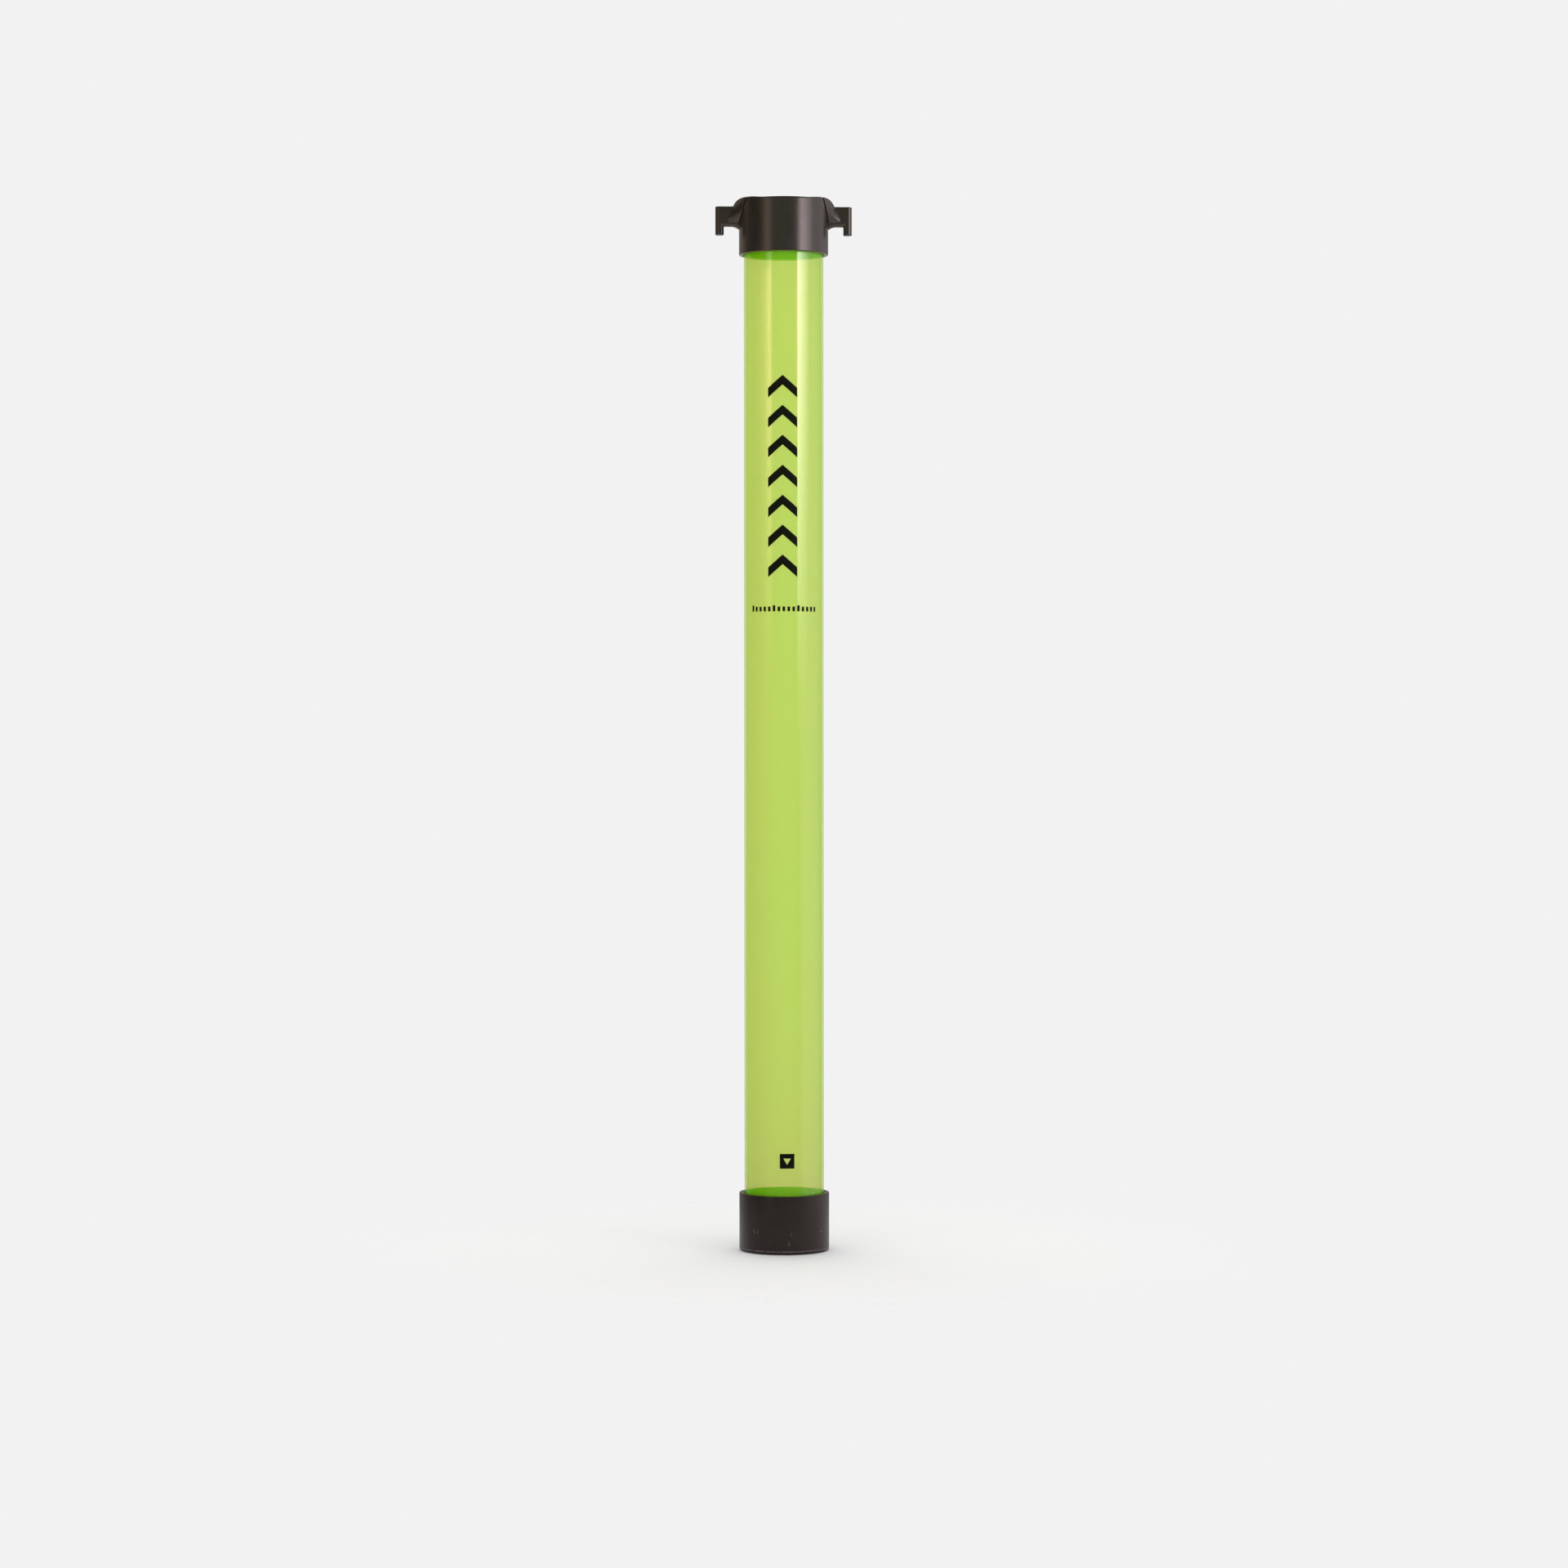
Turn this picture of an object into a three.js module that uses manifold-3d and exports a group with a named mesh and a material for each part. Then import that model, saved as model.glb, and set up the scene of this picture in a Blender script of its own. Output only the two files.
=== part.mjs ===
// Tennis ball pickup tube: a see-through tube with a moulded collar at each end.
// The open lower end is pushed down over a ball, which springs past a ring of fingers and can't fall back.
// The tube hangs from the two hooks of its top collar, and the balls are taken out at its open top.
// Millimetres, +Z up along the tube, hooks along X, origin at the centre of the bottom collar's underside.
import * as THREE from "three";
import { mergeVertices, toCreasedNormals } from "three/addons/utils/BufferGeometryUtils.js";
import Module from "manifold-3d";

// The column of balls that the tube holds
const ballDiameter = 66;
const ballCount = 15;
const ballPlay = 5;               // the bore is this much wider than a ball

// Fits and cuts
const seatGap = 0.3;              // between two pieces that seat on each other
const overrun = 3;                // how far a cutting solid passes the face that it opens

// Tube
const tubeWall = 2;

// Top collar
const topCollarWall = 4.2;        // beside the tube
const topCollarHeight = 52.3;
const topLipHeight = 3.5;         // the ledge over the tube's end
const topLipRound = 0.8;
const topRimRound = 1.2;
const topSkirtRound = 0.7;
const rimDip = 1.7;               // the rim falls between the hooks, at the front and the back
const rimDipFlat = 19;            // where the dip's level stretch ends, along X
const rimDipEnd = 36;             // and where the rim is back at its full height

// Hook lugs, one on each side of the top collar
const hookReach = 22.3;           // from the collar's side to the hook's outer face
const hookWidth = 10;             // round the collar
const hookDrop = 7;               // from the rim down to the arm's top
const hookArmDepth = 14.9;        // of the arm's flat faces
const hookBarThickness = 7.9;
const hookBarLength = 26.6;       // from the arm's top to the bar's tip
const hookEdge = 0.45;            // bevel along the arm's and the bar's level edges
const barOuterRound = 4;          // along the bar's upright edges, away from the tube
const barInnerRound = 3.3;        // and towards it
const keelDepth = 3.7;            // the arm's rounded underside, below its flat faces
const keelRise = 4;               // how far the keel's block reaches up inside the arm
const archDrop = 2.7;             // how far the keel falls to meet the collar
const archRun = 7.4;              // from the collar's side to where that fall starts
const wingRimWidth = 43.4;        // the wing that carries the arm, where it meets the rim
const wingRootReserve = 1.1;      // from the arm's underside down to where the wing's root would close
const wingRimReach = 2.6;         // past the collar's side at the rim
const wingToeReach = 12.6;        // past the collar's side at the arm's underside
const wingShoulder = 6.2;         // round between the rim and the wing's sloping edge
const wingBulge = 0.5;            // crown of the wing's two faces

// Bottom collar
const bottomCollarWall = 4.6;     // beside the tube
const bottomCollarHeight = 54.8;
const bottomLipHeight = 4;        // the ledge under the insert
const bottomFootRound = 2.5;
const bottomRimRound = 0.6;
const leadIn = 1.2;               // chamfer at the mouths of both collars

// Insert in the bottom collar, which the tube stands on
const insertSleeveWall = 1.2;
const insertBaseHeight = 5.2;

// Fingers of the insert
const fingerCount = 8;
const fingerWall = 1.5;
const fingerHeight = 14.5;        // up from the hinge to the centre of the bead
const fingerBead = 1.1;           // radius of the bead along the finger's tip
const fingerBite = 3.6;           // how far the bead reaches under the ball
const fingerRootWidth = 22;
const fingerTipWidth = 17;
const fingerTipCorner = 4;
const fingerHeadroom = 2.3;       // over the bead, for the finger's swing

// Steps round a full turn, along a round corner, down a wing, across its crown and along an arch
const turnSteps = 72;
const roundSteps = 2;
const wingSteps = 12;
const crownSteps = 7;
const archSteps = 5;

// How the wing's root narrows down the collar, and how the keel rounds over, as shares of its half
// width and of its depth
const wingRootPower = 1.12;
const keelRoundShares = [[1, 0], [0.9, 0.52], [0.48, 1]];

// Heights
const rimZ = ballDiameter * ballCount;
const topLipZ = rimZ - topLipHeight;
const topSkirtZ = rimZ - topCollarHeight;
const tubeTopZ = topLipZ - seatGap;
const insertZ = bottomLipHeight + seatGap;
const insertBaseZ = insertZ + insertBaseHeight;
const fingerRootZ = insertBaseZ + seatGap;
const fingerTipZ = fingerRootZ + fingerHeight;
const insertTopZ = fingerTipZ + fingerBead + fingerHeadroom;
const tubeBottomZ = insertTopZ + seatGap;
const armTopZ = rimZ - hookDrop;
const armUndersideZ = armTopZ - hookArmDepth;
const hookTipZ = armTopZ - hookBarLength;
const wingRootLength = rimZ - armUndersideZ + wingRootReserve;

// Radii, and distances from the axis along X
const boreRadius = (ballDiameter + ballPlay) / 2;
const tubeRadius = boreRadius + tubeWall;
const socketRadius = tubeRadius + seatGap;
const topCollarRadius = socketRadius + topCollarWall;
const bottomCollarRadius = socketRadius + bottomCollarWall;
const sleeveRadius = tubeRadius - insertSleeveWall;
const fingerRootRadius = sleeveRadius - seatGap - fingerWall / 2;
const insertMouthRadius = fingerRootRadius - fingerWall / 2;
const fingerTipRadius = ballDiameter / 2 - fingerBite + fingerBead;
const hookOuterX = topCollarRadius + hookReach;
const hookInnerX = hookOuterX - hookBarThickness;
const wingRimX = topCollarRadius + wingRimReach;
const wingToeX = topCollarRadius + wingToeReach;
const lugInnerX = Math.sqrt(topCollarRadius ** 2 - (wingRimWidth / 2) ** 2) - topCollarWall;

// Local directions of an extruded outline: its x, its y and the way that it is extruded
const acrossY = new THREE.Matrix4().makeBasis(
  new THREE.Vector3(1, 0, 0), new THREE.Vector3(0, 0, 1), new THREE.Vector3(0, -1, 0));
const outwardX = new THREE.Matrix4().makeBasis(
  new THREE.Vector3(0, 1, 0), new THREE.Vector3(0, 0, 1), new THREE.Vector3(1, 0, 0));

const wasm = await Module();
wasm.setup();

// A closed surface as a solid that can be joined and cut
function solidFrom(geometry) {
  const bare = geometry.clone();
  bare.deleteAttribute("normal");
  bare.deleteAttribute("uv");
  const welded = mergeVertices(bare);
  const corners = welded.index.array;
  const triangles = [];
  for (let i = 0; i < corners.length; i += 3) {
    const [a, b, c] = corners.slice(i, i + 3);
    if (a !== b && b !== c && c !== a) triangles.push(a, b, c);
  }
  return new wasm.Manifold(new wasm.Mesh({
    numProp: 3,
    vertProperties: new Float32Array(welded.attributes.position.array),
    triVerts: new Uint32Array(triangles),
  }));
}

// A solid as a surface to show, with its sharp edges kept sharp
function geometryFrom(solid) {
  const { vertProperties, triVerts, numProp } = solid.getMesh();
  const geometry = new THREE.BufferGeometry();
  geometry.setAttribute("position", new THREE.BufferAttribute(vertProperties, numProp));
  geometry.setIndex(new THREE.BufferAttribute(triVerts, 1));
  return toCreasedNormals(geometry, Math.PI / 6);
}

// A closed outline through corners, each [x, y] or [x, y, radius], counter-clockwise
function outline(corners) {
  const shape = new THREE.Shape();
  const place = ([x, y]) => new THREE.Vector2(x, y);
  corners.forEach((corner, i) => {
    const at = place(corner);
    const radius = corner[2] ?? 0;
    const toBefore = place(corners.at(i - 1)).sub(at).normalize();
    const toAfter = place(corners[(i + 1) % corners.length]).sub(at).normalize();
    const half = toBefore.angleTo(toAfter) / 2;
    const enter = at.clone().addScaledVector(toBefore, radius / Math.tan(half));
    const leave = at.clone().addScaledVector(toAfter, radius / Math.tan(half));
    if (i === 0) shape.moveTo(enter.x, enter.y);
    else shape.lineTo(enter.x, enter.y);
    if (radius > 0) {
      const inward = toBefore.clone().add(toAfter).normalize();
      const centre = at.clone().addScaledVector(inward, radius / Math.sin(half));
      const start = enter.sub(centre).angle();
      const end = leave.sub(centre).angle();
      shape.absarc(centre.x, centre.y, radius, start, end, toBefore.cross(toAfter) > 0);
    }
  });
  shape.closePath();
  return shape;
}

// A profile of radius and height, turned about the tube's axis
function turned(profile) {
  const surface = new THREE.LatheGeometry(profile.getPoints(roundSteps), turnSteps);
  return solidFrom(surface.rotateX(Math.PI / 2));
}

// An outline extruded by depth from zero, with the edges of both its ends bevelled by edge
function bevelled(shape, depth, edge) {
  const surface = new THREE.ExtrudeGeometry(shape, {
    depth: depth - 2 * edge,
    curveSegments: roundSteps,
    bevelEnabled: edge > 0,
    bevelThickness: edge,
    bevelSize: edge,
    bevelOffset: -edge,
    bevelSegments: 1,
  });
  return surface.translate(0, 0, edge);
}

// A flat plate in the XZ plane, centred on it
function plate(shape, width, edge = 0) {
  return solidFrom(bevelled(shape, width, edge).translate(0, 0, -width / 2).applyMatrix4(acrossY));
}

// A closed solid through sections from bottom to top, each the same count of points, counter-clockwise
function loft(sections) {
  const points = sections.flat();
  const count = sections[0].length;
  const triangles = [];
  for (let level = 0; level < sections.length - 1; level++) {
    for (let i = 0; i < count; i++) {
      const a = level * count + i;
      const b = level * count + (i + 1) % count;
      triangles.push(a, b, b + count, a, b + count, a + count);
    }
  }
  const top = points.length - count;
  for (let i = 1; i < count - 1; i++) {
    triangles.push(0, i + 1, i, top, top + i, top + i + 1);
  }
  const surface = new THREE.BufferGeometry().setFromPoints(points);
  surface.setIndex(triangles);
  return solidFrom(surface);
}

// Half the width of the wing's root on the collar at height z
function wingRootHalf(z) {
  return wingRimWidth / 2 * Math.sqrt(1 - ((rimZ - z) / wingRootLength) ** wingRootPower);
}

// One level of the wing: from its root on the collar, in to the arm's width at the wing's sloping edge
function wingSection(z) {
  const rootY = wingRootHalf(z);
  const rootX = Math.sqrt(topCollarRadius ** 2 - rootY ** 2);
  const toeY = hookWidth / 2;
  const toeX = THREE.MathUtils.mapLinear(z, rimZ, armUndersideZ, wingRimX, wingToeX);
  const side = [new THREE.Vector2(lugInnerX, rootY)];
  for (let step = 0; step <= crownSteps; step++) {
    const along = step / crownSteps;
    const bulge = wingBulge * Math.sin(along * Math.PI) * (1 - toeY / rootY);
    side.push(new THREE.Vector2(
      THREE.MathUtils.lerp(rootX, toeX, along) + bulge, THREE.MathUtils.lerp(rootY, toeY, along)));
  }
  const right = side.map(({ x, y }) => new THREE.Vector3(x, -y, z));
  const left = side.map(({ x, y }) => new THREE.Vector3(x, y, z)).reverse();
  return [...right, ...left];
}

// The wing: its levels, trimmed from the side to the sloping edge and the shoulder
function wing() {
  const levels = loft(Array.from({ length: wingSteps + 1 }, (_, step) => wingSection(
    THREE.MathUtils.lerp(armUndersideZ, rimZ, step / wingSteps))));
  const slope = new THREE.Vector2(wingRimX - wingToeX, rimZ - armUndersideZ).normalize();
  const side = new THREE.Shape();
  side.moveTo(lugInnerX, armUndersideZ);
  side.lineTo(wingToeX, armUndersideZ);
  side.lineTo(wingRimX - slope.x * wingShoulder, rimZ - slope.y * wingShoulder);
  side.quadraticCurveTo(wingRimX, rimZ, wingRimX - wingShoulder, rimZ);
  side.lineTo(lugInnerX, rimZ);
  side.closePath();
  return levels.intersect(plate(side, wingRimWidth + overrun));
}

// One section of the arm's lower part, across it at distance x from the tube's axis
function keelSection(x) {
  const fall = THREE.MathUtils.clamp((topCollarRadius + archRun - x) / archRun, 0, 1);
  const depth = keelDepth + archDrop * fall ** 2;
  const side = [[hookWidth / 2, armUndersideZ + keelRise]];
  for (const [width, down] of keelRoundShares) {
    side.push([hookWidth / 2 * width, armUndersideZ - depth * down]);
  }
  const right = side.map(([y, z]) => new THREE.Vector3(x, -y, z));
  const left = side.map(([y, z]) => new THREE.Vector3(x, y, z)).reverse();
  return [...right, ...left];
}

// The keel: the arm's underside rounds over, and falls in an arch to meet the collar
function keel() {
  const arch = Array.from({ length: archSteps + 1 }, (_, step) => archRun * step / archSteps);
  const places = [lugInnerX, ...arch.map((run) => topCollarRadius + run), hookInnerX + barInnerRound];
  return loft(places.map(keelSection));
}

// The arm, a flat plate that ends inside the bar
function hookArm() {
  const coreZ = armUndersideZ + keelRise / 2;
  const middleX = (hookInnerX + hookOuterX) / 2;
  const side = outline([[lugInnerX, coreZ], [middleX, coreZ], [middleX, armTopZ], [lugInnerX, armTopZ]]);
  return plate(side, hookWidth, hookEdge);
}

// The hook's bar, which hangs from the arm's end with its upright edges rounded
function hookBar() {
  const half = hookWidth / 2;
  const section = outline([
    [hookInnerX, -half, barInnerRound],
    [hookOuterX, -half, barOuterRound],
    [hookOuterX, half, barOuterRound],
    [hookInnerX, half, barInnerRound],
  ]);
  return solidFrom(bevelled(section, hookBarLength, hookEdge).translate(0, 0, hookTipZ));
}

// Lowers a point of the rim between the hooks
function dipRim(point) {
  if (point[2] < (topLipZ + rimZ) / 2) return;
  point[2] -= rimDip * (1 - THREE.MathUtils.smoothstep(Math.abs(point[0]), rimDipFlat, rimDipEnd));
}

function topCollar() {
  const lug = hookArm().add(hookBar()).add(wing()).add(keel());
  const body = turned(outline([
    [0, topSkirtZ],
    [topCollarRadius, topSkirtZ, topSkirtRound],
    [topCollarRadius, rimZ, topRimRound],
    [0, rimZ],
  ]));
  const bore = turned(outline([
    [0, topSkirtZ - overrun],
    [socketRadius + leadIn + overrun, topSkirtZ - overrun],
    [socketRadius, topSkirtZ + leadIn],
    [socketRadius, topLipZ],
    [boreRadius, topLipZ],
    [boreRadius, rimZ - topLipRound],
    [boreRadius + topLipRound, rimZ],
    [boreRadius + topLipRound, rimZ + overrun],
    [0, rimZ + overrun],
  ]));
  return body.add(lug).add(lug.rotate([0, 0, 180])).subtract(bore).warp(dipRim);
}

function tube() {
  return turned(outline([
    [boreRadius, tubeBottomZ],
    [tubeRadius, tubeBottomZ],
    [tubeRadius, tubeTopZ],
    [boreRadius, tubeTopZ],
  ]));
}

function bottomCollar() {
  return turned(outline([
    [boreRadius + leadIn, 0],
    [bottomCollarRadius, 0, bottomFootRound],
    [bottomCollarRadius, bottomCollarHeight, bottomRimRound],
    [socketRadius + leadIn, bottomCollarHeight],
    [socketRadius, bottomCollarHeight - leadIn],
    [socketRadius, bottomLipHeight],
    [boreRadius, bottomLipHeight],
    [boreRadius, leadIn],
  ]));
}

// The insert: a base that the fingers spring from, in a sleeve that leaves them room to swing
function retainerRing() {
  return turned(outline([
    [insertMouthRadius, insertZ],
    [tubeRadius, insertZ],
    [tubeRadius, insertTopZ],
    [sleeveRadius, insertTopZ],
    [sleeveRadius, insertBaseZ],
    [insertMouthRadius, insertBaseZ],
  ]));
}

// One finger, on the +X side: a tongue cut from a cone that leans in over the mouth, with a bead at its tip
function finger() {
  const root = new THREE.Vector2(fingerRootRadius, fingerRootZ);
  const tip = new THREE.Vector2(fingerTipRadius, fingerTipZ);
  const along = tip.clone().sub(root).normalize();
  const outward = new THREE.Vector2(along.y, -along.x);
  const halfWall = fingerWall / 2;
  const footHalf = halfWall / along.y;
  const neck = along.clone().multiplyScalar(-Math.sqrt(fingerBead ** 2 - halfWall ** 2));
  const beadStart = outward.clone().multiplyScalar(halfWall).add(neck);
  const beadEnd = outward.clone().multiplyScalar(-halfWall).add(neck);
  const profile = new THREE.Shape();
  profile.moveTo(root.x - footHalf, root.y);
  profile.lineTo(root.x + footHalf, root.y);
  profile.lineTo(tip.x + beadStart.x, tip.y + beadStart.y);
  profile.absarc(tip.x, tip.y, fingerBead, beadStart.angle(), beadEnd.angle(), false);
  profile.closePath();
  const tongueTopZ = fingerTipZ + fingerBead + seatGap;
  const tongue = outline([
    [-fingerRootWidth / 2, fingerRootZ - overrun],
    [fingerRootWidth / 2, fingerRootZ - overrun],
    [fingerRootWidth / 2, fingerRootZ],
    [fingerTipWidth / 2, tongueTopZ, fingerTipCorner],
    [-fingerTipWidth / 2, tongueTopZ, fingerTipCorner],
    [-fingerRootWidth / 2, fingerRootZ],
  ]);
  const cutter = new THREE.ExtrudeGeometry(tongue, {
    depth: fingerRootRadius + fingerWall + overrun,
    curveSegments: roundSteps,
    bevelEnabled: false,
  });
  return turned(profile).intersect(solidFrom(cutter.applyMatrix4(outwardX)));
}

const tubePlastic = { color: 0xb9d364, roughness: 0.12, metalness: 0, transparent: true, opacity: 0.6 };
const hookPlastic = { color: 0x2c2826, roughness: 0.35, metalness: 0 };
const softPlastic = { color: 0x2e2927, roughness: 0.7, metalness: 0 };
const springPlastic = { color: 0x1d1c1b, roughness: 0.5, metalness: 0 };

function piece(name, solid, finish) {
  const mesh = new THREE.Mesh(geometryFrom(solid), new THREE.MeshStandardMaterial(finish));
  mesh.name = name;
  return mesh;
}

const pickupTube = new THREE.Group();
pickupTube.add(
  piece("tube", tube(), tubePlastic),
  piece("top_collar", topCollar(), hookPlastic),
  piece("bottom_collar", bottomCollar(), softPlastic),
  piece("retainer_ring", retainerRing(), springPlastic),
);
for (let i = 0; i < fingerCount; i++) {
  const mesh = piece(`finger_${i + 1}`, finger(), springPlastic);
  mesh.rotation.z = i / fingerCount * 2 * Math.PI;
  pickupTube.add(mesh);
}

export default pickupTube;
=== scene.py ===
# Tennis ball pickup tube: a see-through green tube between two black mouldings, on a pale floor.
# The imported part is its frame. Millimetres, with Z up the tube, the hooks along X and the front at -Y.
import math

import bmesh
import bpy
from mathutils import Matrix, Vector


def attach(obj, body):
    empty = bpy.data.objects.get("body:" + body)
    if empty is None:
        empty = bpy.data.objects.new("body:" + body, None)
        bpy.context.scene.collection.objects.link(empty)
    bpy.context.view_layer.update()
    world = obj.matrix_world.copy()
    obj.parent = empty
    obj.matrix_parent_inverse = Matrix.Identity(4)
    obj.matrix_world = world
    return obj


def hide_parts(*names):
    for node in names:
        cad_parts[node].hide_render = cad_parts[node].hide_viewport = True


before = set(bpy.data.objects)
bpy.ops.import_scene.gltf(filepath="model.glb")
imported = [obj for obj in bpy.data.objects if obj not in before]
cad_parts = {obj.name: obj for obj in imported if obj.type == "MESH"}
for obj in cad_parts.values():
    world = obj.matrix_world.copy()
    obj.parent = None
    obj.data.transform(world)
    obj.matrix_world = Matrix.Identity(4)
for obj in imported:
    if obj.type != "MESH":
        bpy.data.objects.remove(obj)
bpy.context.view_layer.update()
print("frame loaded, nodes:", len(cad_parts))

mm = 0.001
weldGap = 0.0005     # vertices closer than this become one
creaseAngle = 32     # edges that bend by more degrees stay sharp


# Meshes

def roundCorners(corners, steps):
    # corners are (x, y, radius), each one turned into an arc of that radius
    points = []
    for i, (x, y, radius) in enumerate(corners):
        at = Vector((x, y))
        if radius == 0:
            points.append(at)
            continue
        before = (Vector(corners[i - 1][:2]) - at).normalized()
        after = (Vector(corners[(i + 1) % len(corners)][:2]) - at).normalized()
        half = before.angle(after) / 2
        centre = at + (before + after).normalized() * radius / math.sin(half)
        start = (at + before * radius / math.tan(half) - centre) / radius
        end = (at + after * radius / math.tan(half) - centre) / radius
        sweep = start.angle(end)
        for step in range(steps + 1):
            share = step / steps
            mix = start * math.sin((1 - share) * sweep) + end * math.sin(share * sweep)
            points.append(centre + mix * radius / math.sin(sweep))
    return points


def supportRuns(points, gap, longest):
    # extra points beside the rounds and along the straight runs, so that shading stays flat there
    held = []
    for i, point in enumerate(points):
        following = points[(i + 1) % len(points)]
        run = (following - point).length
        held.append(point)
        if run < 4 * gap:     # too short for a point beside each end
            continue
        shares = [gap / run]
        parts = math.ceil((run - 2 * gap) / longest)
        shares += [(gap + (run - 2 * gap) * part / parts) / run for part in range(1, parts)]
        shares.append(1 - gap / run)
        held += [point.lerp(following, share) for share in shares]
    return held


def newPiece(name, shape, crease=creaseAngle):
    # a bmesh in millimetres becomes an object in metres
    bmesh.ops.remove_doubles(shape, verts=shape.verts, dist=weldGap)
    bmesh.ops.recalc_face_normals(shape, faces=shape.faces)
    bmesh.ops.scale(shape, vec=(mm, mm, mm), verts=shape.verts)
    mesh = bpy.data.meshes.new(name)
    shape.to_mesh(mesh)
    shape.free()
    mesh.shade_smooth()
    mesh.set_sharp_from_angle(angle=math.radians(crease))
    piece = bpy.data.objects.new(name, mesh)
    bpy.context.scene.collection.objects.link(piece)
    return piece


def loopPiece(name, loops, closed=False, crease=creaseAngle):
    # quads between loops of equal length, and caps at both ends unless the last loop joins the first
    shape = bmesh.new()
    rows = [[shape.verts.new(point) for point in loop] for loop in loops]
    pairs = list(zip(rows, rows[1:]))
    if closed:
        pairs.append((rows[-1], rows[0]))
    for lower, upper in pairs:
        for i in range(len(lower)):
            after = (i + 1) % len(lower)
            shape.faces.new((lower[i], lower[after], upper[after], upper[i]))
    if not closed:
        shape.faces.new(rows[0])
        shape.faces.new(rows[-1])
    return newPiece(name, shape, crease)


def turned(name, corners, turns, arcSteps, gap, longest):
    # a closed profile of (radius, height, rounding), turned about the tube's axis
    profile = supportRuns(roundCorners(corners, arcSteps), gap, longest)
    loops = []
    for turn in range(turns):
        angle = 2 * math.pi * turn / turns
        loops.append([(p.x * math.cos(angle), p.x * math.sin(angle), p.y) for p in profile])
    return loopPiece(name, loops, closed=True)


def modified(piece, *steps):
    # modifiers as (type, settings), applied at once
    for kind, settings in steps:
        modifier = piece.modifiers.new(kind.title(), kind)
        for key, value in settings.items():
            setattr(modifier, key, value)
    bpy.context.view_layer.update()
    result = bpy.data.meshes.new_from_object(piece.evaluated_get(bpy.context.evaluated_depsgraph_get()))
    piece.modifiers.clear()
    piece.data = result


def cutBy(piece, operation, tool):
    modified(piece, ("BOOLEAN", {"operation": operation, "object": tool, "solver": "EXACT"}))
    bpy.data.objects.remove(tool)


# Materials

class Signal:
    # one output socket; Python's operators on it add Math nodes
    def __init__(self, tree, socket):
        self.tree = tree
        self.socket = socket

    def math(self, operation, *values):
        return self.tree.node("ShaderNodeMath", {"operation": operation}, dict(enumerate(values)))

    def __add__(self, other):
        return self.math("ADD", self, other)

    def __radd__(self, other):
        return self.math("ADD", other, self)

    def __sub__(self, other):
        return self.math("SUBTRACT", self, other)

    def __rsub__(self, other):
        return self.math("SUBTRACT", other, self)

    def __mul__(self, other):
        return self.math("MULTIPLY", self, other)

    def __rmul__(self, other):
        return self.math("MULTIPLY", other, self)

    def __truediv__(self, other):
        return self.math("DIVIDE", self, other)

    def __pow__(self, other):
        return self.math("POWER", self, other)

    def atLeast(self, other):
        return self.math("MAXIMUM", self, other)

    def between(self, low, high):
        # 0 below low, 1 above high, smooth in the middle
        return self.tree.node("ShaderNodeMapRange", {"interpolation_type": "SMOOTHSTEP"},
                              {"Value": self, "From Min": low, "From Max": high})


class Nodes:
    # the node tree of one material, lamp or world
    def __init__(self, owner):
        owner.use_nodes = True
        self.tree = owner.node_tree
        self.tree.nodes.clear()

    def node(self, kind, settings=None, sockets=None, output=0):
        made = self.tree.nodes.new(kind)
        for key, value in (settings or {}).items():
            setattr(made, key, value)
        for key, value in (sockets or {}).items():
            if isinstance(value, Signal):
                self.tree.links.new(value.socket, made.inputs[key])
            else:
                made.inputs[key].default_value = value
        return Signal(self, made.outputs[output])

    def axis(self, where, letter):
        return self.node("ShaderNodeSeparateXYZ", {}, {0: where}, output=letter)

    def place(self, stretch=(1, 1, 1)):
        # object coordinates in metres, stretched along each axis
        where = self.node("ShaderNodeTexCoord", output="Object")
        return self.node("ShaderNodeMapping", {}, {"Vector": where, "Scale": stretch})

    def noise(self, width, detail, roughness, stretch=(1, 1, 1)):
        # width is a blotch's, in millimetres
        return self.node("ShaderNodeTexNoise", {}, {
            "Vector": self.place(stretch), "Scale": 1 / (width * mm),
            "Detail": detail, "Roughness": roughness})

    def mixColor(self, factor, first, second):
        return self.node("ShaderNodeMix", {"data_type": "RGBA"}, {0: factor, 6: first, 7: second}, output=2)

    def mixShader(self, factor, first, second):
        return self.node("ShaderNodeMixShader", {}, {0: factor, 1: first, 2: second})

    def bump(self, height, strength, depth):
        return self.node("ShaderNodeBump", {}, {
            "Height": height, "Strength": strength, "Distance": depth * mm})

    def finish(self, kind, shader):
        self.tree.links.new(shader.socket, self.tree.nodes.new(kind).inputs[0])


def shade(*linear):
    return (*linear, 1)


def blend(first, second, share):
    # between two numbers or signals
    return first + (second - first) * share


# Camera

view = {
    "turn": -3.1,            # degrees round the tube from its front; the object stands a little askew
    "distance": 3800,        # from the tube's axis
    "height": 495,
    "aside": 0.05,
    "pitch": 0.828,          # degrees below level
    "roll": -0.04,
    "lens": 92.5, "sensor": 36,
}
cameraData = bpy.data.cameras.new("camera")
cameraData.lens = view["lens"]
cameraData.sensor_width = view["sensor"]
camera = bpy.data.objects.new("camera", cameraData)
camera.matrix_world = (
    Matrix.Rotation(math.radians(view["turn"]), 4, "Z")
    @ Matrix.Translation((view["aside"] * mm, -view["distance"] * mm, view["height"] * mm))
    @ Matrix.Rotation(math.radians(90 - view["pitch"]), 4, "X")
    @ Matrix.Rotation(math.radians(view["roll"]), 4, "Z"))
bpy.context.scene.collection.objects.link(camera)
bpy.context.scene.camera = camera
print("camera placed")


# Tube. In every dictionary, mesh holds the steps round the axis, the steps in a rounding, the gap of the
# support edges and the longest face, and a noise holds its width, detail, roughness and stretch.

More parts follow.
